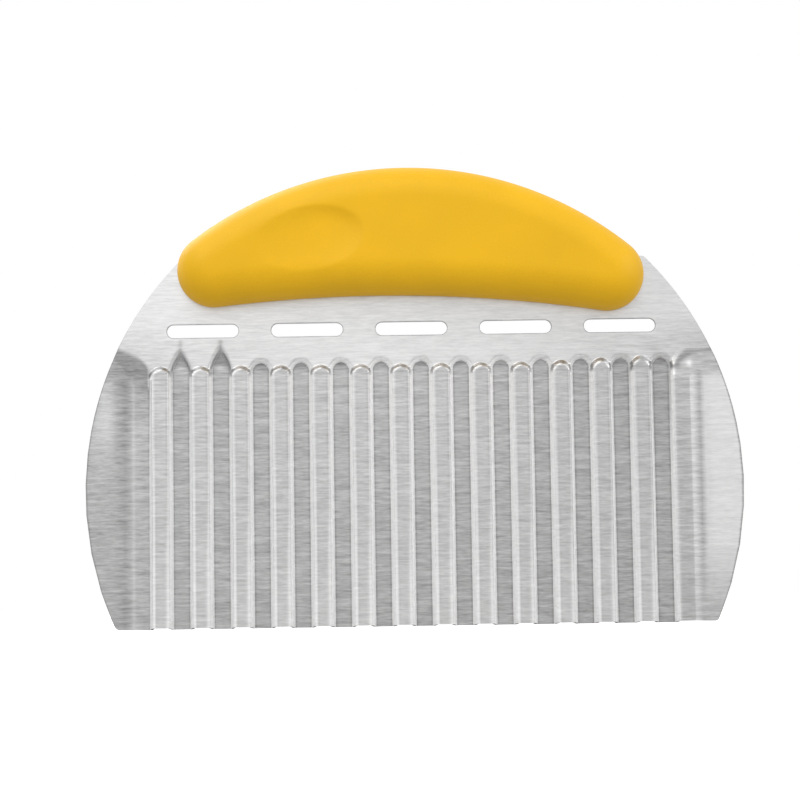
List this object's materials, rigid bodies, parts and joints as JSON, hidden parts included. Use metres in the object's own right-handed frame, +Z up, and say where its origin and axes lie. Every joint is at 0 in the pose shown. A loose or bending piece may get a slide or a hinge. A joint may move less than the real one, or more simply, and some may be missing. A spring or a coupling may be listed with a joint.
{
  "type": "wavy soap cutter",
  "caption": "Hand-held soap cutter: an upright pressed wavy steel blade with a round outline and drain slots, clamped in a curved two-shell handle with a thumb dish.",
  "frame": {"origin": "middle of the cutting edge, in the middle plane of the sheet; the cutting edge lies on the plane z = 0", "axes": "+X along the cutting edge, towards the right as one faces the thumb dish; +Y from the front, which has the thumb dish, to the back; +Z up from the cutting edge to the handle"},
  "size_m": [0.172, 0.02, 0.1205],
  "materials": {
    "blade_steel": "brushed along the blade",
    "handle_plastic": "matte, fine grained"
  },
  "bodies": {
    "root": {"blade": "blade_steel", "handle_front": "handle_plastic", "handle_back": "handle_plastic"}
  },
  "joints": []
}
